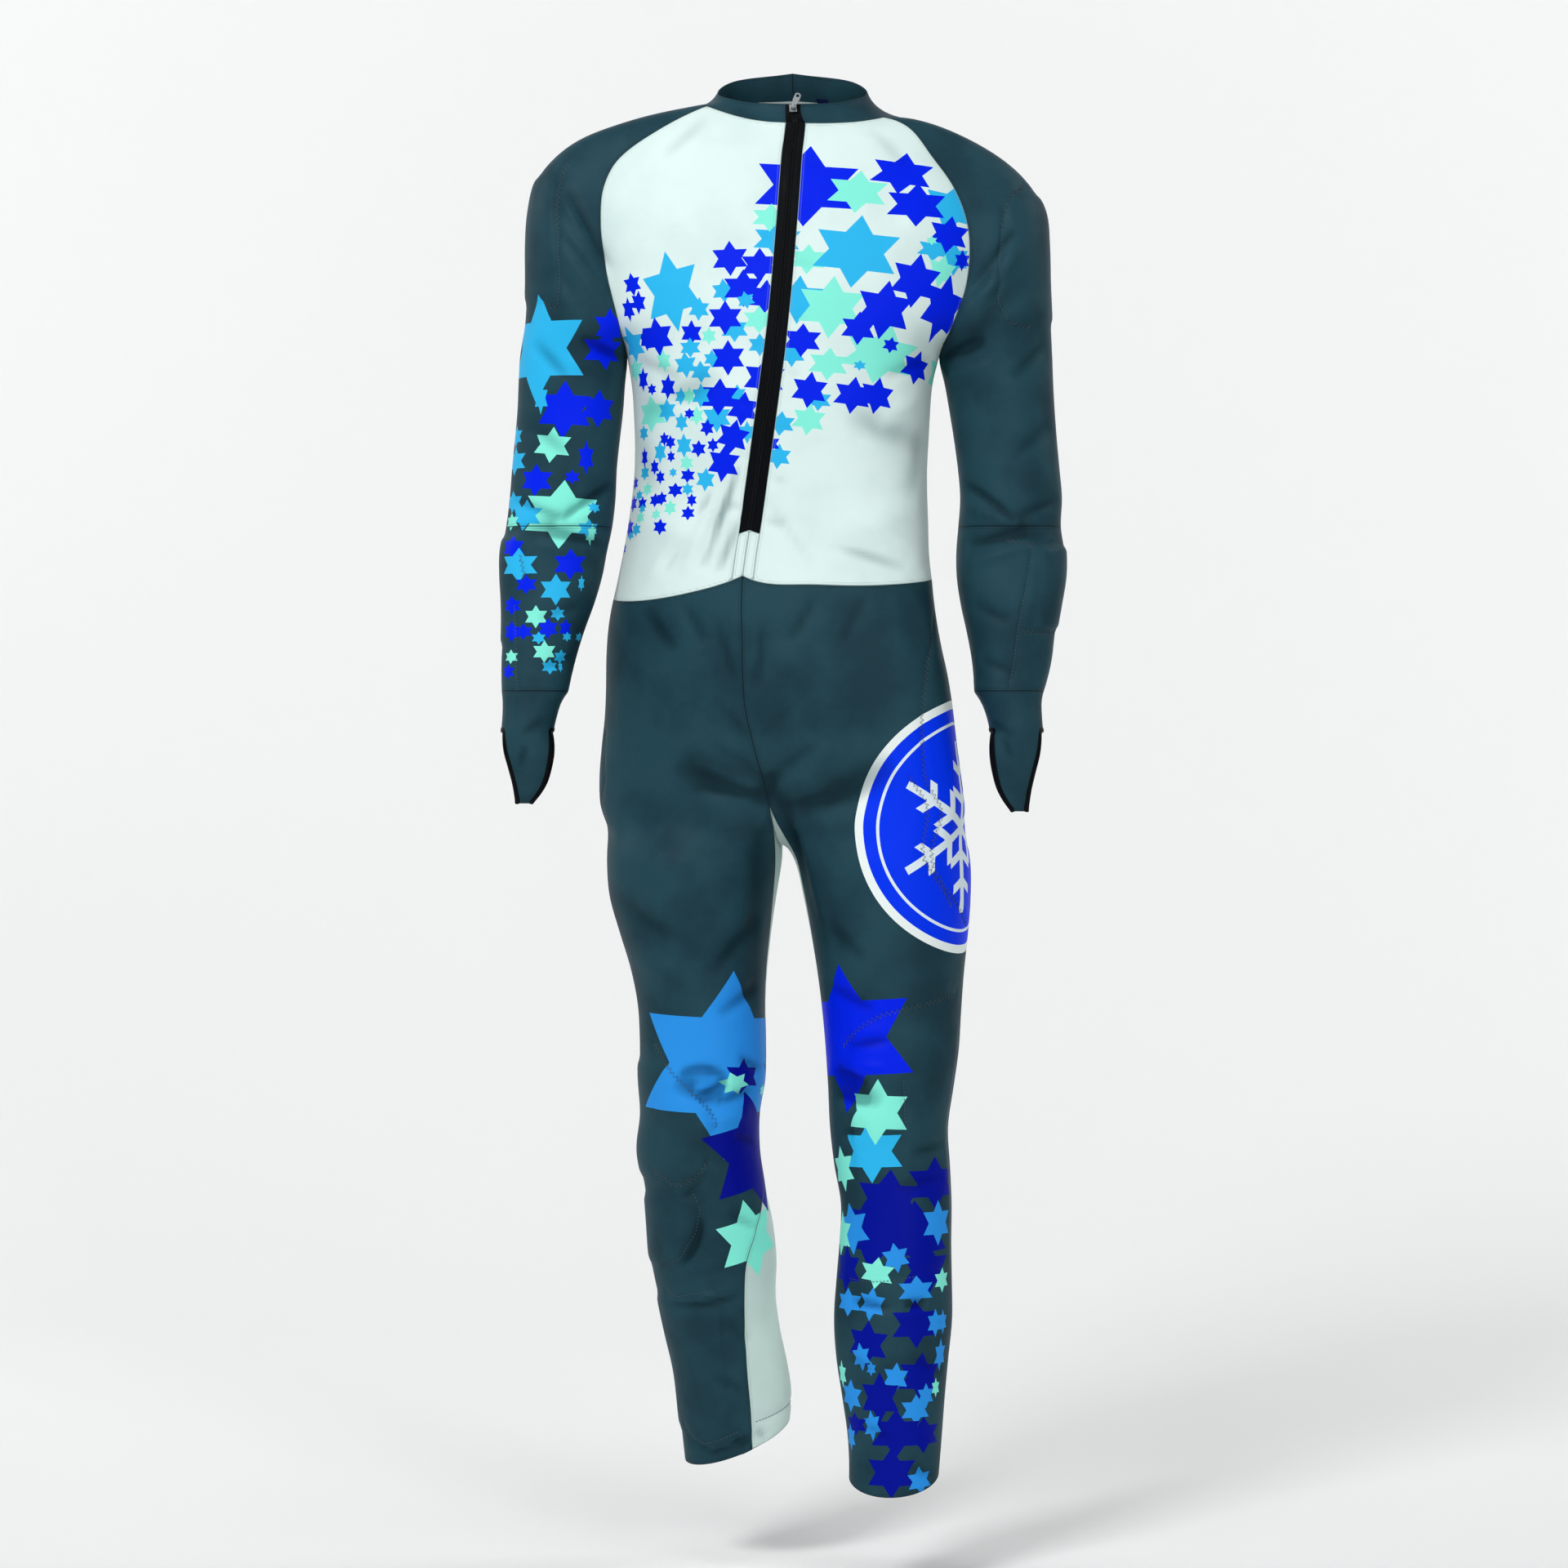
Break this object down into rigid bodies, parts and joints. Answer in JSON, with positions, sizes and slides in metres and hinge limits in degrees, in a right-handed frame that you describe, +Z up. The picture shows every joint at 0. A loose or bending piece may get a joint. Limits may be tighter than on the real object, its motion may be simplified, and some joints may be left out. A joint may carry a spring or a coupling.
{
  "type": "ski race suit",
  "caption": "One-piece stretch ski race suit with a stand collar, long front zip, raglan sleeves, hand loops at the cuffs and padded arms and legs, shown empty as worn",
  "frame": {"origin": "middle of the neck base, between the wearer's shoulders, which carry the suit", "axes": "+Z up the body, +X the wearer's left, the front of the suit faces -Y"},
  "size_m": [0.5687, 0.2689, 1.4341],
  "materials": {
    "grey_stretch": "smooth coated stretch knit, dark blue-grey with printed stars",
    "printed_white": "smooth coated stretch knit, white with printed stars",
    "pale_stretch": "smooth stretch knit, pale grey",
    "foam": "closed-cell foam pad, matt",
    "binding": "black stretch edge binding, matt",
    "zip_coil": "black coil zip on woven tape",
    "zip_metal": "silver-grey cast metal",
    "neck_tape": "pale grey woven tape",
    "label": "dark blue woven label, blank"
  },
  "bodies": {
    "suit": {"back": "printed_white", "collar": "grey_stretch", "cuff_binding_inner_L": "binding", "cuff_binding_inner_R": "binding", "cuff_binding_outer_L": "binding", "cuff_binding_outer_R": "binding", "cuff_left": "grey_stretch", "cuff_right": "grey_stretch", "forearm_pad_L": "foam", "forearm_pad_R": "foam", "front_left": "printed_white", "front_right": "printed_white", "knee_pad_L": "foam", "knee_pad_R": "foam", "leg_back_left": "pale_stretch", "leg_back_right": "pale_stretch", "leg_front_left": "grey_stretch", "leg_front_right": "grey_stretch", "neck_label": "label", "neck_tape": "neck_tape", "shin_pad_L": "foam", "shin_pad_R": "foam", "sleeve_lower_left": "grey_stretch", "sleeve_lower_right": "grey_stretch", "sleeve_upper_left": "grey_stretch", "sleeve_upper_right": "grey_stretch", "thigh_pad_L": "foam", "thigh_pad_R": "foam", "upper_arm_pad_L": "foam", "upper_arm_pad_R": "foam", "zip_guard": "printed_white", "zip_slider": "zip_metal", "zip_tape": "zip_coil"},
    "pull": {"zip_pull": "zip_metal"}
  },
  "joints": [
    {"name": "zip_pull_hinge", "type": "hinge", "parent": "suit", "child": "pull", "pos_m": [0.00741, -0.07494, 0.00681], "axis": [0.9975, 0.0293, 0.0646], "range_deg": [0, 160]}
  ]
}
